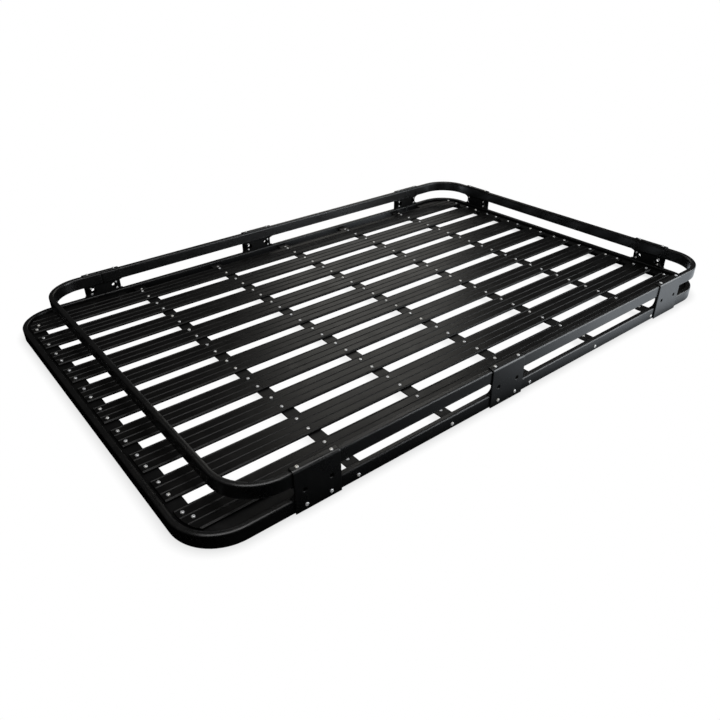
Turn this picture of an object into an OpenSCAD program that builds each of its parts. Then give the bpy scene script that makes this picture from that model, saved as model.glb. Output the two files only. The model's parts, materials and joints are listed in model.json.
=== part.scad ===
// Roof rack, two tiers, slatted deck
// x runs along the rack towards the rear, y towards its right side, z upwards.
// The origin is on the floor under the middle of the lower ring.

/* [Overall] */

// Length over the lower ring
overall_l = 1902; // [1200:5:2600]
// Width over the rails
overall_w = 1253; // [900:5:1500]

/* [Rails] */

// Height of the rail tube
rail_h = 38; // [25:0.5:50]
// Thickness of the rail tube seen from above
rail_t = 16; // [12:0.5:30]
// Wall of the rail tube
rail_wall = 2; // [1.5:0.1:3]
// Outside edge radius of the rail tube
rail_edge_r = 4; // [2.5:0.5:6]
// Clear height between the two tiers
tier_gap = 36.5; // [25:0.5:90]
// Outside radius of the rings at the corners
corner_r = 118; // [60:1:250]
// Distance of the upper ring behind the front of the lower ring
upper_setback = 97; // [0:1:160]
// Play between the tubes where a ring is joined behind a bracket
joint_gap = 0.3; // [0.2:0.1:1]

/* [Planks] */

// Width of one plank
plank_w = 84; // [60:1:110]
// Open strip between the outer planks and the side rails
side_margin = 39.5; // [15:0.5:80]
// Whole depth of a plank with its ridges
plank_h = 6.5; // [6:0.5:14]
// Thickness of the top sheet of a plank
sheet_t = 2.5; // [1.6:0.1:4]
// Height of the ridges above the sheet
ridge_h = 1.5; // [0.8:0.1:3]
// Width of a ridge at its foot
ridge_w = 5; // [3:0.5:8]
// Distance from ridge to ridge
ridge_pitch = 25; // [18:0.5:32]
// Rounding of the plank's upper edges
plank_edge_r = 2; // [0.5:0.5:3]
// Thickness of the legs along the plank's edges
leg_t = 3; // [2:0.5:5]
// Drop of the ridge tops below the top of the lower rail
deck_drop = 3; // [0:0.5:10]
// Space from the front rail to the plank ends
plank_front_gap = 7.5; // [2:0.5:20]
// Space from the rear rail to the plank ends
plank_rear_gap = 20; // [2:0.5:30]

/* [Crossbars] */

// Width of an inner crossbar
bar_w = 36; // [25:1:60]
// Width of the crossbar along the front rail
front_bar_w = 43; // [25:1:60]
// Width of the crossbar along the rear rail
rear_bar_w = 30; // [25:1:60]
// Thickness of a crossbar
bar_t = 3; // [3:0.5:8]
// Middle of the first inner crossbar from the front of the lower ring
bar_first = 406; // [300:1:520]
// Distance from crossbar to crossbar
bar_pitch = 294.5; // [200:0.5:360]
// Thickness of the cleats under the crossbar ends
cleat_t = 3; // [2:0.5:5]
// Length of the cleat foot under the crossbar
cleat_foot = 32; // [20:1:60]
// Height of the cleat leg on the rail
cleat_leg = 16; // [12:0.5:24]
// Thickness of the corner plates beside the outer planks
corner_plate_t = 3; // [2:0.5:5]
// Reach of the corner plates under the outer planks
corner_plate_lap = 14; // [8:1:30]
// Length of the rear corner plates from the rear rail
rear_plate_l = 175; // [100:1:220]

/* [Brackets] */

// Width of a bracket along its rail
bracket_w = 121; // [80:1:180]
// Thickness of the bracket plate
plate_t = 3; // [2:0.5:6]
// Middle of the front brackets from the front of the lower ring
bracket_front = 293; // [240:1:420]
// Middle of the middle brackets from the front of the lower ring
bracket_mid = 894; // [600:1:1200]
// Middle of the rear side brackets from the front of the lower ring
bracket_rear = 1657; // [1200:1:1750]
// Middle of the brackets on the rear rail from the side of the rack
bracket_side = 211; // [185:1:400]
// Distance between the two bolt holes of a bracket
hole_pitch = 70; // [40:1:100]
// Bolt hole in the brackets
hole_d = 11; // [6.5:0.5:14]
// Counterbore round the bolt holes in the inner face of the spacers
pocket_d = 18; // [15:0.5:22]
// Web left under the counterbore
pocket_web = 3; // [2:0.5:6]
// Reach of the spacer feet past the bracket
flare = 4; // [0:0.5:12]
// Thickness of the spacer feet at their tips
foot_t = 1.5; // [1:0.5:4]

/* [Fit] */

// Play left between pieces that lie on each other
fit = 0.3; // [0.1:0.05:0.5]

/* [Hidden] */

$fn = 96;
e = 0.01;
half_l = overall_l / 2;
half_w = overall_w / 2;
inner_hw = half_w - rail_t;
upper_z = rail_h + tier_gap;
top_z = upper_z + rail_h;
deck_z = rail_h - deck_drop;
plank_z = deck_z - plank_h;
bar_z = plank_z - fit - bar_t;
cleat_z = bar_z - fit - cleat_t;
plank_count = 10;
plank_pitch = (2 * inner_hw - 2 * side_margin - plank_w) / (plank_count - 1);
inner_r = corner_r - rail_t;
xf = -half_l;
bar_x = [
    xf + rail_t + fit + front_bar_w / 2,
    xf + bar_first,
    xf + bar_first + bar_pitch,
    xf + bar_first + 2 * bar_pitch,
    xf + bar_first + 3 * bar_pitch,
    xf + bar_first + 4 * bar_pitch,
    half_l - rail_t - fit - rear_bar_w / 2
];
bar_ws = [front_bar_w, bar_w, bar_w, bar_w, bar_w, bar_w, rear_bar_w];
bracket_y = half_w - bracket_side;
spacer_t = rail_t - rail_edge_r;
waist_h = tier_gap / 2 - fit - foot_t;
waist_d = min(waist_h, flare + (bracket_w - hole_pitch - hole_d) / 2 - 5);
waist_r = (waist_h * waist_h + waist_d * waist_d) / (2 * waist_d);

// Rounded rectangle from 0,0 to w,h
module rounded(w, h, r) {
    translate([r, 0]) square([w - 2 * r, h]);
    translate([0, r]) square([w, h - 2 * r]);
    translate([r, r]) circle(r);
    translate([w - r, r]) circle(r);
    translate([r, h - r]) circle(r);
    translate([w - r, h - r]) circle(r);
}

// Section of the rail tube with its hollow
module rail_section() {
    difference() {
        rounded(rail_t, rail_h, rail_edge_r);
        translate([rail_wall, rail_wall])
            rounded(rail_t - 2 * rail_wall, rail_h - 2 * rail_wall, rail_edge_r - rail_wall);
    }
}

// Straight tube along x, from x0 to x1, nearest side face at y
module tube_x(x0, x1, y) {
    translate([x0, y, 0])
        rotate([90, 0, 90])
            linear_extrude(x1 - x0) rail_section();
}

// Straight tube along y, centred on the centre line, front face at x
module tube_y(x, len) {
    translate([x, len / 2, 0])
        rotate([90, 0, 0])
            linear_extrude(len) rail_section();
}

// Quarter bend of the tube, in the first quadrant of its own centre
module bend() {
    rotate_extrude(angle = 90) translate([inner_r, 0]) rail_section();
}

// Rear end of a ring, with both bends and legs reaching to x1
module ring_end(x_end, x1) {
    cx = x_end - corner_r;
    cy = half_w - corner_r;
    tube_y(x_end - rail_t, 2 * cy);
    translate([cx, cy, 0]) bend();
    translate([cx, -cy, 0]) rotate([0, 0, -90]) bend();
    tube_x(x1, cx, half_w - rail_t);
    tube_x(x1, cx, -half_w);
}

// Inside outline of the lower ring, drawn back by gap, with own end gaps
module deck_outline(front, rear, side, r) {
    x0 = xf + rail_t + front;
    x1 = half_l - rail_t - rear;
    w = 2 * (inner_hw - side);
    translate([x0, -w / 2]) rounded(x1 - x0, w, r);
}

module lower_rail_front() {
    color("#26282b")
        mirror([1, 0, 0]) ring_end(half_l, half_l - bracket_front + joint_gap / 2);
}

module lower_rail_rear() {
    color("#26282b")
        ring_end(half_l, xf + bracket_rear + joint_gap / 2);
}

module side_rail(y) {
    tube_x(xf + bracket_front + joint_gap / 2, xf + bracket_rear - joint_gap / 2, y);
}

module lower_rail_left() {
    color("#2a2c30") side_rail(-half_w);
}

module lower_rail_right() {
    color("#2a2c30") side_rail(half_w - rail_t);
}

module upper_rail_front() {
    color("#26282b")
        translate([0, 0, upper_z])
            mirror([1, 0, 0])
                ring_end(half_l - upper_setback, half_l - bracket_front + joint_gap / 2);
}

module upper_rail_rear() {
    color("#26282b")
        translate([0, 0, upper_z])
            ring_end(half_l, xf + bracket_rear + joint_gap / 2);
}

module upper_rail_left() {
    color("#2a2c30") translate([0, 0, upper_z]) side_rail(-half_w);
}

module upper_rail_right() {
    color("#2a2c30") translate([0, 0, upper_z]) side_rail(half_w - rail_t);
}

// Section of a plank, x across from its middle, y up from its underside
module plank_section() {
    top = plank_h - ridge_h;
    sheet_y = top - sheet_t;
    hw = plank_w / 2;
    r = plank_edge_r;
    translate([-hw + r, sheet_y]) square([plank_w - 2 * r, sheet_t]);
    for (s = [-1, 1]) {
        translate([s * (hw - leg_t / 2) - leg_t / 2, 0]) square([leg_t, top - r]);
        translate([s * (hw - r), top - r]) circle(r);
        translate([s * ridge_pitch / 2 - 1.25, 0]) square([2.5, sheet_y + e]);
    }
    for (k = [-1.5 : 1 : 1.5]) {
        translate([k * ridge_pitch, top])
            polygon([
                [-ridge_w / 2, -e],
                [ridge_w / 2, -e],
                [0.36 * ridge_w, 0.62 * ridge_h],
                [0.16 * ridge_w, ridge_h],
                [-0.16 * ridge_w, ridge_h],
                [-0.36 * ridge_w, 0.62 * ridge_h]
            ]);
    }
}

module plank(i) {
    x0 = xf + rail_t + plank_front_gap;
    x1 = half_l - rail_t - plank_rear_gap;
    y = (i - (plank_count + 1) / 2) * plank_pitch;
    color("#303236")
        intersection() {
            translate([x0, y, plank_z])
                rotate([90, 0, 90])
                    linear_extrude(x1 - x0) plank_section();
            translate([0, 0, plank_z - 1])
                linear_extrude(plank_h + 2)
                    deck_outline(plank_front_gap, plank_rear_gap, plank_front_gap, inner_r - plank_front_gap);
        }
}

module crossbar(k) {
    color("#222427")
        intersection() {
            translate([bar_x[k] - bar_ws[k] / 2, -inner_hw, bar_z])
                cube([bar_ws[k], 2 * inner_hw, bar_t]);
            translate([0, 0, bar_z - 1])
                linear_extrude(bar_t + 2) deck_outline(fit, fit, fit, inner_r - fit);
        }
}

// Angle cleat under the left end of a crossbar
module cleat(k) {
    y0 = -inner_hw + fit;
    w = bar_w - 8;
    translate([bar_x[k] - w / 2, y0, cleat_z]) cube([w, cleat_foot, cleat_t]);
    translate([bar_x[k] - w / 2, y0, cleat_z + cleat_t - cleat_leg]) cube([w, cleat_t, cleat_leg]);
}

module cleats_left() {
    color("#34363a") for (k = [1 : 5]) cleat(k);
}

module cleats_right() {
    color("#34363a") mirror([0, 1, 0]) for (k = [1 : 5]) cleat(k);
}

// Flat plate beside and under the outer left plank, from x0 to x1
module corner_plate(x0, x1) {
    z0 = plank_z - fit - corner_plate_t;
    intersection() {
        translate([x0, -inner_hw, z0])
            cube([x1 - x0, side_margin + corner_plate_lap, corner_plate_t]);
        translate([0, 0, z0 - 1])
            linear_extrude(corner_plate_t + 2) deck_outline(fit, fit, fit, inner_r - fit);
    }
}

// The plates that close the strip in the front and rear corners
module corner_plates() {
    corner_plate(
        bar_x[0] + front_bar_w / 2 + fit,
        min(xf + bracket_front + bracket_w / 2, bar_x[1] - bar_w / 2 - fit)
    );
    corner_plate(
        max(half_l - rail_t - rear_plate_l, bar_x[5] + bar_w / 2 + fit),
        bar_x[6] - rear_bar_w / 2 - fit
    );
}

module corner_plate_left() {
    color("#26282b") corner_plates();
}

module corner_plate_right() {
    color("#26282b") mirror([0, 1, 0]) corner_plates();
}

// Section of the bracket, x outwards from the rail's inner face, y up
module bracket_section() {
    ri = rail_edge_r + fit;
    ro = ri + plate_t;
    cx = rail_t - rail_edge_r;
    cy = top_z - rail_edge_r;
    translate([rail_t + fit, 0]) square([plate_t, cy]);
    translate([0, top_z + fit]) square([cx, plate_t]);
    translate([cx, cy])
        intersection() {
            difference() {
                circle(ro);
                circle(ri);
            }
            square(ro + 1);
        }
}

// Bracket on a rail along x, on the right side, middle at x = 0
module bracket_body() {
    translate([-bracket_w / 2, inner_hw, 0])
        difference() {
            rotate([90, 0, 90]) linear_extrude(bracket_w) bracket_section();
            bracket_holes();
        }
}

// The two bolt holes, drawn through the plate and the spacer
module bracket_holes() {
    for (s = [-0.5, 0.5]) {
        translate([bracket_w / 2 + s * hole_pitch, -10, rail_h + tier_gap / 2])
            rotate([-90, 0, 0]) cylinder(d = hole_d, h = rail_t + 30);
    }
}

// Waisted spacer between the two tiers, its bolt holes counterbored from inside
module spacer_body() {
    w = bracket_w + 2 * flare;
    translate([-bracket_w / 2, inner_hw, 0])
        difference() {
            translate([-flare, rail_edge_r, rail_h + fit])
                cube([w, spacer_t, tier_gap - 2 * fit]);
            for (x = [-flare + waist_d - waist_r, bracket_w + flare - waist_d + waist_r]) {
                translate([x, -5, rail_h + tier_gap / 2])
                    rotate([-90, 0, 0]) cylinder(r = waist_r, h = rail_t + 20);
            }
            bracket_holes();
            for (s = [-0.5, 0.5]) {
                translate([bracket_w / 2 + s * hole_pitch, 0, rail_h + tier_gap / 2])
                    rotate([-90, 0, 0]) cylinder(d = pocket_d, h = rail_t - pocket_web);
            }
        }
}

module on_right(d) {
    translate([xf + d, 0, 0]) children();
}

module on_left(d) {
    translate([xf + d, 0, 0]) mirror([0, 1, 0]) children();
}

// Turns a right side piece onto the rear rail, its middle at y
module on_rear(y) {
    translate([half_l - half_w, y, 0]) rotate([0, 0, -90]) children();
}

module bracket(c = "#2c2e32") {
    color(c) bracket_body();
}

module spacer(c = "#1e2022") {
    color(c) spacer_body();
}

lower_rail_front();
lower_rail_rear();
lower_rail_left();
lower_rail_right();
upper_rail_front();
upper_rail_rear();
upper_rail_left();
upper_rail_right();
plank(1);  // plank_1
plank(2);  // plank_2
plank(3);  // plank_3
plank(4);  // plank_4
plank(5);  // plank_5
plank(6);  // plank_6
plank(7);  // plank_7
plank(8);  // plank_8
plank(9);  // plank_9
plank(10);  // plank_10
crossbar(0);  // crossbar_front
crossbar(1);  // crossbar_1
crossbar(2);  // crossbar_2
crossbar(3);  // crossbar_3
crossbar(4);  // crossbar_4
crossbar(5);  // crossbar_5
crossbar(6);  // crossbar_rear
cleats_left();
cleats_right();
corner_plate_left();
corner_plate_right();
on_left(bracket_front) bracket();  // bracket_left_front
on_left(bracket_mid) bracket();  // bracket_left_middle
on_left(bracket_rear) bracket();  // bracket_left_rear
on_right(bracket_front) bracket();  // bracket_right_front
on_right(bracket_mid) bracket();  // bracket_right_middle
on_right(bracket_rear) bracket();  // bracket_right_rear
on_rear(-bracket_y) bracket();  // bracket_rear_left
on_rear(bracket_y) bracket();  // bracket_rear_right
on_left(bracket_front) spacer();  // spacer_left_front
on_left(bracket_mid) spacer();  // spacer_left_middle
on_left(bracket_rear) spacer();  // spacer_left_rear
on_right(bracket_front) spacer();  // spacer_right_front
on_right(bracket_mid) spacer();  // spacer_right_middle
on_right(bracket_rear) spacer();  // spacer_right_rear
on_rear(-bracket_y) spacer();  // spacer_rear_left
on_rear(bracket_y) spacer();  // spacer_rear_right
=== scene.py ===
import json
import math

import bmesh
import bpy
from mathutils import Matrix, Vector


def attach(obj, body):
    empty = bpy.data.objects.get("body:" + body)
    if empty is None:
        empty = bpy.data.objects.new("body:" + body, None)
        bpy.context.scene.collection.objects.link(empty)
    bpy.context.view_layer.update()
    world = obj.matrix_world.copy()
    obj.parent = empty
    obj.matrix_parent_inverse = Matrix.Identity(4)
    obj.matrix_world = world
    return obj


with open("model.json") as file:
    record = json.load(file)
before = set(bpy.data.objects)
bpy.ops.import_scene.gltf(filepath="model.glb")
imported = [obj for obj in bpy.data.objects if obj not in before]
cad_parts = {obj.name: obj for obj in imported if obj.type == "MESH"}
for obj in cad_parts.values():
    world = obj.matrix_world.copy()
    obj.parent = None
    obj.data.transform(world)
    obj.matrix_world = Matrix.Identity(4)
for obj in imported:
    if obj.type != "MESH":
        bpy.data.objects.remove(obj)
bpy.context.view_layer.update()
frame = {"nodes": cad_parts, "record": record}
nodes = frame["nodes"]

# Places in metres, in the shared frame: x to the rear, y to the right side, z up
HALF_L = 0.951
HALF_W = 0.6265
BRACKET_TOP = 0.1158
DECK_SHEET = 0.0335
BAR_TOP = 0.0282
BAR_BOTTOM = 0.0252
CLEAT_BOTTOM = 0.0219
PLANK_COUNT = 10
PLANK_PITCH = 0.11755556
RIDGE_PITCH = 0.025

# The seven rows of plank screws, from front to rear, as far along as the photo shows them
SCREW_X = [-0.9144, -0.553, -0.2585, 0.036, 0.3305, 0.621, 0.9085]
# The outermost screw of each corner plank, (plank, side), is moved in from the ring's bend
CORNER_SCREWS = ((0, -1), (9, 1))
CORNER_SCREW_X = -0.9022

# The cleats at the ends of the inner crossbars: (x, side)
CLEATS = [(x, side) for x in (-0.545, -0.2505, 0.044, 0.3385, 0.633) for side in (-1, 1)]
CLEAT_BOLT_Y = 0.582
# The side bolts sit a little ahead of the crossbars' middles
SIDE_BOLT_SHIFT = -0.003
# Height of the side bolts and of the brackets' low screws
LOW_Z = 0.0145

# Brackets: place along their rail and the rail they sit on
BRACKETS = {
    "left_front": (-0.658, "left"),
    "left_middle": (-0.057, "left"),
    "left_rear": (0.706, "left"),
    "right_front": (-0.658, "right"),
    "right_middle": (-0.057, "right"),
    "right_rear": (0.706, "right"),
    "rear_left": (-0.4155, "rear"),
    "rear_right": (0.4155, "rear"),
}
# Their screws, from the middle of the bracket and the outer face of the rail
TOP_SCREW_X, TOP_SCREW_Y = 0.044, -0.008
LOW_SCREW_X, LOW_SCREW_Y = 0.0325, 0.0033
SPACER_SCREW_X, SPACER_SCREW_Y, SPACER_SCREW_Z = 0.0428, -0.012, 0.0098
HOLE_Z = 0.05625

# Socket heads: radius, height, half the width of the socket across its flats
PLANK_HEAD = (0.0046, 0.0028, 0.0015)
SIDE_HEAD = (0.0046, 0.0027, 0.0015)
BRACKET_HEAD = (0.0045, 0.0027, 0.0015)
SPACER_HEAD = (0.0036, 0.0022, 0.0012)
HEAD_SUNK = 0.00025
HEAD_FLANGE = 0.0004
SOCKET_DEPTH = 0.0016
DOME_STEPS = 7

# Nuts: half the width across the flats, height, radius of the thread
NUT_FLAT = 0.004
NUT_H = 0.004
NUT_BORE = 0.0025
NUT_SUNK = 0.0002
WASHER_R = 0.0055
WASHER_H = 0.0008

# A multiple of six, so that a hexagon's corners fall on vertices
SEGMENTS = 24
ANGLES = [2 * math.pi * i / SEGMENTS for i in range(SEGMENTS)]
GOLDEN_ANGLE = 2.399963
SMOOTH_ANGLE = math.radians(38)
MERGE = 1e-6
# Keeps an angle that lies on a hexagon's corner with the side that follows it
ROUND_UP = 1e-6

# Coat: the stretch of the drawing lines on pieces that run along x and along y
LINES_X = (3.0, 900.0, 900.0)
LINES_Y = (700.0, 3.0, 700.0)
DUST = (0.16, 0.15, 0.135, 1.0)

# Floor
FLOOR_HALF = 60.0
FLOOR_Z = -0.0003
FLOOR_GREY = 0.8
# colour of the floor's painted glow, seen only in reflections
FLOOR_REFLECTION_TINT = (0.93, 1.0, 1.07, 1)
# Painted light: brightness of the floor's glow in reflections, at places from x = -1 m (0) to x = 1
# m (1)
FLOOR_GRADIENT = [(0.1, 0.0), (0.3, 0.04), (0.5, 0.16), (0.66, 0.6), (0.78, 1.0)]

# Softboxes: name, place, target, width, height, radiance, colour
LAMPS = [
    ("overhead", (-0.6, -0.9, 2.5), (0, 0, 0), 2.6, 2.2, 2.0, (1, 1, 1)),
    ("back_right", (2.2, 2.75, 2.2), (0.1, 0, 0), 1.7, 2.2, 0.88, (1.0, 0.98, 0.92)),
    ("rear", (2.95, 0.4, 2.5), (0.5, 0, 0), 1.5, 0.7, 0.6, (1, 1, 1)),
    ("right", (2.0, -2.15, 0.9), (0.2, -0.6, 0.1), 2.1, 1.6, 3.6, (0.93, 0.97, 1.0)),
]
WORLD_DIM = 0.03
WHITE = (1, 1, 1, 1)

# Camera, solved from the photo: lens in mm, place and axes
CAMERA_LENS = 33.3576
CAMERA_AT = (-1.242088, -1.527816, 1.017449)
CAMERA_RIGHT = (0.782781, -0.622129, -0.01446)
CAMERA_UP = (0.336334, 0.403407, 0.850965)
CAMERA_BACK = (-0.523577, -0.670983, 0.525023)


# Materials

class Tree:
    """Short way to build the nodes of a material or a world."""

    def __init__(self, owner, output="ShaderNodeOutputMaterial"):
        owner.use_nodes = True
        self.owner = owner
        self.nt = owner.node_tree
        self.nt.nodes.clear()
        self.out = self.nt.nodes.new(output)

    def node(self, kind, **values):
        n = self.nt.nodes.new(kind)
        for key, value in values.items():
            setattr(n, key, value)
        return n

    def link(self, a, b):
        self.nt.links.new(a, b)

    def feed(self, socket, value):
        """Sets a number or colour on a socket, or links an output to it."""
        if isinstance(value, (int, float, tuple)):
            socket.default_value = value
        else:
            self.link(value, socket)

    def math(self, op, a, b=None, clamp=False):
        n = self.node("ShaderNodeMath", operation=op, use_clamp=clamp)
        self.feed(n.inputs[0], a)
        if b is not None:
            self.feed(n.inputs[1], b)
        return n.outputs[0]

    def noise(self, scale, detail, rough, stretch=(1, 1, 1)):
        coord = self.node("ShaderNodeTexCoord")
        mapping = self.node("ShaderNodeMapping")
        mapping.inputs["Scale"].default_value = stretch
        self.link(coord.outputs["Object"], mapping.inputs["Vector"])
        n = self.node("ShaderNodeTexNoise")
        n.inputs["Scale"].default_value = scale
        n.inputs["Detail"].default_value = detail
        n.inputs["Roughness"].default_value = rough
        self.link(mapping.outputs["Vector"], n.inputs["Vector"])
        return n.outputs["Fac"]

    def ramp(self, fac, stops):
        n = self.node("ShaderNodeValToRGB")
        for element, (pos, colour) in zip(n.color_ramp.elements, (stops[0], stops[-1])):
            element.position = pos
            element.color = colour
        for pos, colour in stops[1:-1]:
            n.color_ramp.elements.new(pos).color = colour
        self.link(fac, n.inputs["Fac"])
        return n.outputs["Color"]

    def range(self, value, a, b, c, d):
        """Maps value from a..b to c..d."""
        n = self.node("ShaderNodeMapRange")
        for socket, v in zip(n.inputs, (value, a, b, c, d)):
            self.feed(socket, v)
        return n.outputs[0]

    def mix(self, fac, a, b):
        n = self.node("ShaderNodeMix", data_type="RGBA")
        self.feed(n.inputs[0], fac)
        # the node's colours A and B
        self.feed(n.inputs[6], a)
        self.feed(n.inputs[7], b)
        return n.outputs[2]

    def occlusion(self, distance, samples):
        n = self.node("ShaderNodeAmbientOcclusion", samples=samples)
        n.inputs["Distance"].default_value = distance
        return n.outputs["AO"]

    def bevel(self, radius, samples):
        n = self.node("ShaderNodeBevel", samples=samples)
        n.inputs["Radius"].default_value = radius
        return n.outputs["Normal"]

    def bump(self, height, strength, distance, normal=None):
        n = self.node("ShaderNodeBump")
        n.inputs["Strength"].default_value = strength
        n.inputs["Distance"].default_value = distance
        self.link(height, n.inputs["Height"])
        if normal is not None:
            self.link(normal, n.inputs["Normal"])
        return n.outputs["Normal"]

    def xyz(self, vector):
        n = self.node("ShaderNodeSeparateXYZ")
        self.link(vector, n.inputs[0])
        return n.outputs


def grey(v, warm=0.0):
    return (v * (1 + warm), v, v * (1 - warm), 1.0)


def coat(name, base, rough, spec, streak=None, warm=0.0,
         peel=0.05, edge=0.0009, soft=None, wear_and_highlight=6.0):
    """Black powder coat: cloudy colour, orange peel, paler edges (rubbed, and partly a painted
    highlight), reflections dimmed in recesses as painted shade, a little dust on top.

    base, rough and spec are the middle colour, roughness and specular level.
    streak stretches the drawing lines of an extrusion, and None leaves them out.
    peel is the strength of the bump, edge the width of the pale edges,
    soft the radius at which edges shade, and wear how much paler they get, partly from rubbing and
    partly as a painted highlight.
    """
    t = Tree(bpy.data.materials.new(name))
    b = t.node("ShaderNodeBsdfPrincipled")
    # painted shade: recesses, where ambient occlusion finds them, get a lower specular level and so
    # darker reflections
    open_sky = t.occlusion(0.1, 6)
    t.link(t.range(open_sky, 0.5, 0.88, spec * 0.15, spec), b.inputs["Specular IOR Level"])
    cloud = t.noise(7.0, 4.0, 0.55)
    speck = t.noise(420.0, 2.0, 0.6)
    colour = t.ramp(t.math("ADD", t.math("MULTIPLY", cloud, 0.7), t.math("MULTIPLY", speck, 0.3)),
                    [(0.3, grey(base * 0.65, warm)),
                     (0.5, grey(base, warm)),
                     (0.7, grey(base * 1.5, warm))])
    # edges paled by rubbing, and partly a painted highlight (mostly so on the planks' ridges):
    # where the rounded normal leaves the flat one
    rounded = t.bevel(edge, 4)
    geo = t.node("ShaderNodeNewGeometry")
    dot = t.node("ShaderNodeVectorMath", operation="DOT_PRODUCT")
    t.link(rounded, dot.inputs[0])
    t.link(geo.outputs["Normal"], dot.inputs[1])
    lift = t.range(dot.outputs["Value"], 0.995, 0.88, 0.0, 1.0)
    patchy = t.range(t.noise(60.0, 4.0, 0.7), 0.42, 0.62, 0.15, 1.0)
    rubbed_and_highlit = t.math("MULTIPLY", lift, patchy, clamp=True)
    colour = t.mix(t.math("MULTIPLY", rubbed_and_highlit, 0.55), colour, grey(base * wear_and_highlight, warm))
    # thin dust on faces that look up
    upward = t.range(t.xyz(geo.outputs["Normal"])["Z"], 0.6, 1.0, 0.0, 1.0)
    dust = t.math("MULTIPLY", upward, t.range(t.noise(23.0, 5.0, 0.65), 0.48, 0.78, 0.0, 0.04))
    t.link(t.mix(dust, colour, DUST), b.inputs["Base Color"])
    # gloss
    gloss = t.range(t.noise(16.0, 4.0, 0.6), 0.3, 0.7, rough - 0.045, rough + 0.05)
    if streak:
        fine = t.noise(1.0, 3.0, 0.6, streak)
        gloss = t.math("ADD", gloss, t.range(fine, 0.3, 0.7, -0.05, 0.05))
    t.link(t.math("ADD", gloss, t.math("MULTIPLY", dust, 0.8)), b.inputs["Roughness"])
    # orange peel, and drawing lines where the piece is an extrusion
    height = t.noise(620.0, 2.0, 0.5)
    if streak:
        lines = t.noise(1.0, 2.0, 0.5, streak)
        height = t.math("ADD", height, t.math("MULTIPLY", lines, 1.6))
    if soft:
        # coat that pools away from the edges makes them look rounder
        rounded = t.bevel(soft, 12)
    t.link(t.bump(height, peel, 0.0004, rounded), b.inputs["Normal"])
    t.link(b.outputs["BSDF"], t.out.inputs["Surface"])
    return t.owner


def zinc(name, base, rough):
    """Zinc plate with a faint yellow bloom and scuffs."""
    t = Tree(bpy.data.materials.new(name))
    b = t.node("ShaderNodeBsdfPrincipled")
    b.inputs["Metallic"].default_value = 0.45
    bloom = t.noise(90.0, 4.0, 0.6)
    colour = t.ramp(bloom, [(0.3, (base * 0.78, base * 0.79, base * 0.82, 1)),
                            (0.52, (base, base, base * 0.99, 1)),
                            (0.72, (base * 0.95, base * 0.9, base * 0.78, 1))])
    t.link(colour, b.inputs["Base Color"])
    gloss = t.range(t.noise(350.0, 3.0, 0.6), 0.3, 0.7, rough - 0.06, rough + 0.12)
    t.link(gloss, b.inputs["Roughness"])
    t.link(t.bump(t.noise(900.0, 2.0, 0.5), 0.08, 0.0002), b.inputs["Normal"])
    t.link(b.outputs["BSDF"], t.out.inputs["Surface"])
    return t.owner


COAT = {
    "rails": coat("coat_rails", base=0.003, rough=0.29, spec=0.95, peel=0.02, soft=0.008),
    # the planks' edges pale strongly: painted highlight lines along the ridges, with a little
    # rubbing
    "planks": coat("coat_planks", base=0.0035, rough=0.31, spec=0.45, streak=LINES_X,
                   warm=0.05, peel=0.06, edge=0.001, wear_and_highlight=22.0),
    "crossbars": coat("coat_crossbars", base=0.0035, rough=0.38, spec=0.5, streak=LINES_Y),
    "cleats": coat("coat_cleats", base=0.0045, rough=0.42, spec=0.4),
    "brackets": coat("coat_brackets", base=0.003, rough=0.29, spec=1.0,
                     peel=0.035, edge=0.0007, soft=0.005),
    "spacers": coat("coat_spacers", base=0.0045, rough=0.42, spec=0.4, peel=0.1, edge=0.0008),
}
ZINC = zinc("zinc_bright", 0.97, 0.24)
ZINC_DULL = zinc("zinc_dull", 0.55, 0.38)

SLOT_OF = {s["node"]: s["material_slot"] for s in frame["record"]["subparts"]}
for name, obj in nodes.items():
    mat = COAT[SLOT_OF[name]]
    if not obj.material_slots:
        obj.data.materials.append(mat)
    for slot in obj.material_slots:
        slot.material = mat


# Fasteners

def ring(bm, place, at):
    """One vertex at each angle about place's z, at the (radius, height) that at(angle) gives."""
    verts = []
    for a in ANGLES:
        r, z = at(a)
        verts.append(bm.verts.new(place @ Vector((r * math.cos(a), r * math.sin(a), z))))
    return verts


def bridge(bm, a, b):
    """Faces between two rings, of which one may be a single vertex."""
    for i in range(SEGMENTS):
        j = (i + 1) % SEGMENTS
        if len(a) == 1:
            bm.faces.new((a[0], b[i], b[j]))
        elif len(b) == 1:
            bm.faces.new((a[i], a[j], b[0]))
        else:
            bm.faces.new((a[i], a[j], b[j], b[i]))


def lathe(bm, profile, place):
    """Turns a profile of (radius, height) points about z and puts it at place."""
    rings = []
    for r, z in profile:
        if r == 0:
            rings.append([bm.verts.new(place @ Vector((0, 0, z)))])
        else:
            rings.append(ring(bm, place, lambda a: (r, z)))
    for a, b in zip(rings, rings[1:]):
        bridge(bm, a, b)


def hex_radius(flat, a):
    """Radius at angle a of a hexagon whose sides are flat away from its middle."""
    side = math.floor(a / (math.pi / 3) + ROUND_UP)
    return flat / math.cos(a - (side + 0.5) * math.pi / 3)


def socket_head(bm, place, size):
    """Domed head with a hexagon socket; place has z outwards and its origin on the seat."""
    r, h, flat = size
    rim = flat * 1.42
    profile = [(0, -HEAD_SUNK), (r, -HEAD_SUNK), (r, HEAD_FLANGE * 0.4)]
    for i in range(DOME_STEPS):
        a = math.pi / 2 * i / (DOME_STEPS - 1)
        rise = (h - HEAD_FLANGE) * math.sin(a) ** 0.9
        profile.append((rim + (r - rim) * math.cos(a), HEAD_FLANGE + rise))
    lathe(bm, profile, place)
    # the ring from the dome's rim to the hexagon, then the socket's walls and bottom
    outer = ring(bm, place, lambda a: (rim, h))
    inner = ring(bm, place, lambda a: (hex_radius(flat, a), h - 0.0001))
    bottom = ring(bm, place, lambda a: (hex_radius(flat, a), h - SOCKET_DEPTH))
    bridge(bm, outer, inner)
    bridge(bm, inner, bottom)
    bm.faces.new(bottom)


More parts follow.
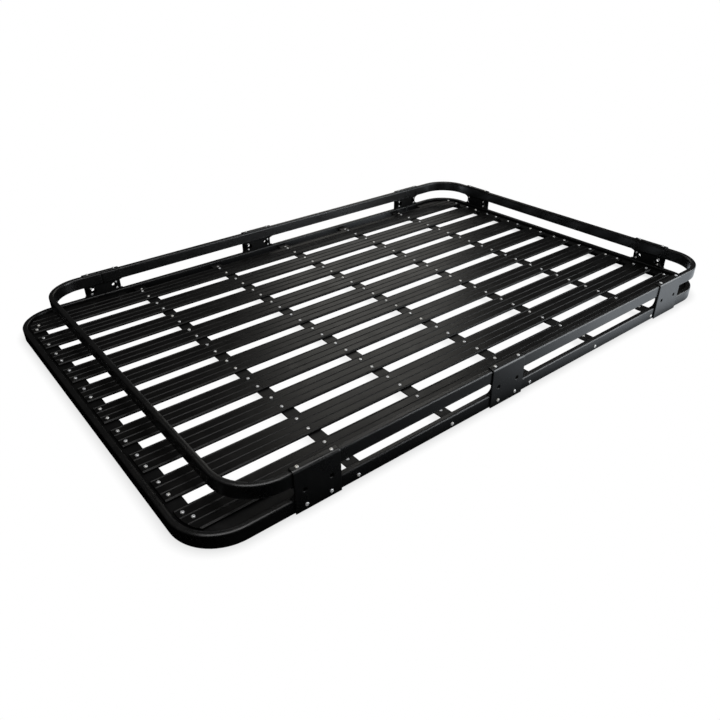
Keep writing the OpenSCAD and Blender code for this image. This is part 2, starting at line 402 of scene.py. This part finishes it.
def hex_nut(bm, place):
    """Hexagon nut with a thread end showing, z outwards from its seat."""
    def shoulder(a):
        r = hex_radius(NUT_FLAT, a)
        return r, NUT_H - 0.0003 - (r - NUT_FLAT) * 0.5

    rings = [
        ring(bm, place, lambda a: (hex_radius(NUT_FLAT, a), -NUT_SUNK)),
        ring(bm, place, shoulder),
        ring(bm, place, lambda a: (NUT_FLAT * 0.97, NUT_H)),
        ring(bm, place, lambda a: (NUT_BORE * 1.12, NUT_H - 0.0001)),
        ring(bm, place, lambda a: (NUT_BORE, NUT_H - 0.0006)),
    ]
    for a, b in zip(rings, rings[1:]):
        bridge(bm, a, b)
    bm.faces.new(list(reversed(rings[0])))
    thread = [(NUT_BORE, NUT_H - 0.0006), (NUT_BORE, NUT_H + 0.0012),
              (NUT_BORE * 0.82, NUT_H + 0.0017), (0, NUT_H + 0.0017)]
    lathe(bm, thread, place)


def washer(bm, place):
    profile = [(0, -NUT_SUNK), (WASHER_R, -NUT_SUNK), (WASHER_R, WASHER_H * 0.75),
               (WASHER_R - 0.00025, WASHER_H), (0, WASHER_H)]
    lathe(bm, profile, place)


def frame_at(pos, axis, turn=0.0):
    """Matrix with z along axis at pos, turned about it."""
    to_axis = Vector(axis).normalized().to_track_quat("Z", "Y").to_matrix().to_4x4()
    return Matrix.Translation(Vector(pos)) @ to_axis @ Matrix.Rotation(turn, 4, "Z")


def turn_for(i):
    """A repeatable but uneven angle for fastener number i."""
    return (i * GOLDEN_ANGLE) % (2 * math.pi)


def piece(name, build, mat):
    """Makes one mesh piece from build(bm), smooth at small angles, riding on the rack."""
    bm = bmesh.new()
    build(bm)
    bmesh.ops.remove_doubles(bm, verts=bm.verts, dist=MERGE)
    bmesh.ops.recalc_face_normals(bm, faces=bm.faces)
    mesh = bpy.data.meshes.new(name)
    bm.to_mesh(mesh)
    bm.free()
    for p in mesh.polygons:
        p.use_smooth = True
    mesh.set_sharp_from_angle(angle=SMOOTH_ANGLE)
    obj = bpy.data.objects.new(name, mesh)
    bpy.context.scene.collection.objects.link(obj)
    obj.data.materials.append(mat)
    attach(obj, "root")


def screw_row(k):
    """(number, x, y) of the screws in row k, two where each plank crosses the crossbar."""
    spots = []
    for i in range(PLANK_COUNT):
        y = (i - (PLANK_COUNT - 1) / 2) * PLANK_PITCH
        for side in (-1, 1):
            n = 2 * PLANK_COUNT * k + len(spots)
            if k == 0 and (i, side) in CORNER_SCREWS:
                spots.append((n, CORNER_SCREW_X, y))
            else:
                spots.append((n, SCREW_X[k], y + side * RIDGE_PITCH))
    return spots


def plank_screws(k):
    def build(bm):
        for n, x, y in screw_row(k):
            socket_head(bm, frame_at((x, y, DECK_SHEET), (0, 0, 1), turn_for(n)), PLANK_HEAD)
    return build


def plank_nuts(k):
    def build(bm):
        for n, x, y in screw_row(k):
            washer(bm, frame_at((x, y, BAR_BOTTOM), (0, 0, -1)))
            hex_nut(bm, frame_at((x, y, BAR_BOTTOM - WASHER_H), (0, 0, -1), turn_for(n)))
    return build


def margin_screws(bm):
    """Screws through the crossbar ends, beside the outer planks."""
    for n, (x, side) in enumerate(CLEATS):
        place = frame_at((x, side * CLEAT_BOLT_Y, BAR_TOP), (0, 0, 1), turn_for(n))
        socket_head(bm, place, PLANK_HEAD)


def side_bolts(bm):
    """Bolts through the side rails into the cleats."""
    for n, (x, side) in enumerate(CLEATS, 3):
        spot = (x + SIDE_BOLT_SHIFT, side * HALF_W, LOW_Z)
        socket_head(bm, frame_at(spot, (0, side, 0), turn_for(n)), SIDE_HEAD)


def cleat_nuts(bm):
    for n, (x, side) in enumerate(CLEATS, 5):
        spot = (x, side * CLEAT_BOLT_Y, CLEAT_BOTTOM)
        hex_nut(bm, frame_at(spot, (0, 0, -1), turn_for(n)))


def bracket_frame(place):
    """Matrix from a bracket's own frame to the rack's.

    In its own frame x runs along the rail, and y outwards from the rail's outer face.
    """
    mid, rail = BRACKETS[place]
    if rail == "right":
        return Matrix.Translation((mid, HALF_W, 0))
    if rail == "left":
        return Matrix.Translation((mid, -HALF_W, 0)) @ Matrix.Rotation(math.pi, 4, "Z")
    return Matrix.Translation((HALF_L, mid, 0)) @ Matrix.Rotation(-math.pi / 2, 4, "Z")


def bracket_screws(place):
    """Two screws on the fold, two low ones except at the rear, four inside the spacer."""
    def build(bm):
        m = bracket_frame(place)
        n = 7 * list(BRACKETS).index(place)
        for side in (-1, 1):
            spot = (side * TOP_SCREW_X, TOP_SCREW_Y, BRACKET_TOP)
            socket_head(bm, m @ frame_at(spot, (0, 0, 1), turn_for(n)), BRACKET_HEAD)
            if "rear" not in place:
                spot = (side * LOW_SCREW_X, LOW_SCREW_Y, LOW_Z)
                socket_head(bm, m @ frame_at(spot, (0, 1, 0), turn_for(n + 1)), BRACKET_HEAD)
            for dz in (-SPACER_SCREW_Z, SPACER_SCREW_Z):
                spot = (side * SPACER_SCREW_X, SPACER_SCREW_Y, HOLE_Z + dz)
                socket_head(bm, m @ frame_at(spot, (0, -1, 0), turn_for(n + 2)), SPACER_HEAD)
                n += 1
    return build


for k in range(len(SCREW_X)):
    piece("plank_screws_%d" % k, plank_screws(k), ZINC)
    piece("plank_nuts_%d" % k, plank_nuts(k), ZINC_DULL)
piece("margin_screws", margin_screws, ZINC)
piece("side_bolts", side_bolts, ZINC)
piece("cleat_nuts", cleat_nuts, ZINC_DULL)
for place in BRACKETS:
    piece("bracket_screws_" + place, bracket_screws(place), ZINC)


# Floor, light and camera

def floor_material():
    """Pale floor, lit by the lamps.

    The camera sees it white, with the rack's shadow painted in from ambient occlusion, and the
    coat's reflections see a painted glow, shaded as FLOOR_GRADIENT gives and dark under the rear of
    the deck.
    """
    t = Tree(bpy.data.materials.new("floor_pale"))
    lit = t.node("ShaderNodeBsdfDiffuse")
    lit.inputs["Color"].default_value = (FLOOR_GREY, FLOOR_GREY, FLOOR_GREY, 1)
    glow = t.node("ShaderNodeEmission")
    open_sky = t.occlusion(0.03, 8)
    path = t.node("ShaderNodeLightPath")
    seen = t.math("MAXIMUM", path.outputs["Is Camera Ray"], path.outputs["Is Transmission Ray"])
    # painted shadow: the camera's white darkens where ambient occlusion finds the rack
    plain = t.math("MULTIPLY", seen, t.range(open_sky, 0.5, 1.0, 0.78, 1.0))
    # painted light: reflections see the floor glow, dark at the front and white towards the rear
    geo = t.node("ShaderNodeNewGeometry")
    spot = t.xyz(geo.outputs["Position"])
    shade = t.ramp(t.range(spot["X"], -1.0, 1.0, 0.0, 1.0),
                   [(pos, (v, v, v, 1)) for pos, v in FLOOR_GRADIENT])
    # painted shadow in reflections too, where ambient occlusion finds the rack
    dim = t.math("MULTIPLY", shade, t.range(open_sky, 0.45, 1.0, 0.35, 1.0))
    # painted shade: the glow goes dark under the rear of the deck, seen through its gaps
    from_front = t.range(spot["X"], 0.66, 0.74, 0.0, 1.0)
    to_rear = t.range(spot["X"], 0.955, 0.94, 0.0, 1.0)
    between = t.range(t.math("ABSOLUTE", spot["Y"]), 0.6, 0.58, 0.0, 0.95)
    under = t.math("MULTIPLY", t.math("MULTIPLY", from_front, to_rear), between)
    dim = t.math("MULTIPLY", dim, t.math("SUBTRACT", 1.0, under))
    glossy = path.outputs["Is Glossy Ray"]
    t.link(t.math("ADD", plain, t.math("MULTIPLY", glossy, dim)), glow.inputs["Strength"])
    t.link(t.mix(glossy, WHITE, FLOOR_REFLECTION_TINT), glow.inputs["Color"])
    both = t.node("ShaderNodeMixShader")
    t.link(t.math("MAXIMUM", seen, glossy), both.inputs[0])
    t.link(lit.outputs[0], both.inputs[1])
    t.link(glow.outputs[0], both.inputs[2])
    t.link(both.outputs[0], t.out.inputs["Surface"])
    return t.owner


floor_mesh = bpy.data.meshes.new("floor")
corners = [(sx * FLOOR_HALF, sy * FLOOR_HALF, 0) for sx, sy in ((-1, -1), (1, -1), (1, 1), (-1, 1))]
floor_mesh.from_pydata(corners, [], [(0, 1, 2, 3)])
floor = bpy.data.objects.new("floor", floor_mesh)
bpy.context.scene.collection.objects.link(floor)
floor.location.z = FLOOR_Z
floor.data.materials.append(floor_material())

for name, loc, target, width, height, radiance, colour in LAMPS:
    light = bpy.data.lights.new(name, "AREA")
    light.shape = "RECTANGLE"
    light.size = width
    light.size_y = height
    light.energy = radiance * math.pi * width * height
    light.color = colour
    lamp = bpy.data.objects.new(name, light)
    lamp.location = loc
    lamp.rotation_euler = (Vector(target) - Vector(loc)).to_track_quat("-Z", "Y").to_euler()
    lamp.visible_camera = False
    bpy.context.scene.collection.objects.link(lamp)

# The world lights the rack dimly, and is white where the camera sees it
world = bpy.data.worlds.new("studio")
bpy.context.scene.world = world
sky = Tree(world, "ShaderNodeOutputWorld")
path = sky.node("ShaderNodeLightPath")
both = sky.node("ShaderNodeMixShader")
sky.link(sky.math("MAXIMUM", path.outputs["Is Camera Ray"], path.outputs["Is Transmission Ray"]),
         both.inputs[0])
for i, strength in ((1, WORLD_DIM), (2, 1.0)):
    background = sky.node("ShaderNodeBackground")
    background.inputs["Color"].default_value = WHITE
    background.inputs["Strength"].default_value = strength
    sky.link(background.outputs[0], both.inputs[i])
sky.link(both.outputs[0], sky.out.inputs["Surface"])

cam_data = bpy.data.cameras.new("camera")
cam_data.sensor_width = 36.0
cam_data.lens = CAMERA_LENS
cam_data.clip_start = 0.02
cam_data.clip_end = 200.0
camera = bpy.data.objects.new("camera", cam_data)
rows = list(zip(CAMERA_RIGHT, CAMERA_UP, CAMERA_BACK, CAMERA_AT))
camera.matrix_world = Matrix(rows + [(0, 0, 0, 1)])
bpy.context.scene.collection.objects.link(camera)
bpy.context.scene.camera = camera

bpy.context.scene.view_settings.view_transform = "Standard"

bpy.context.view_layer.update()
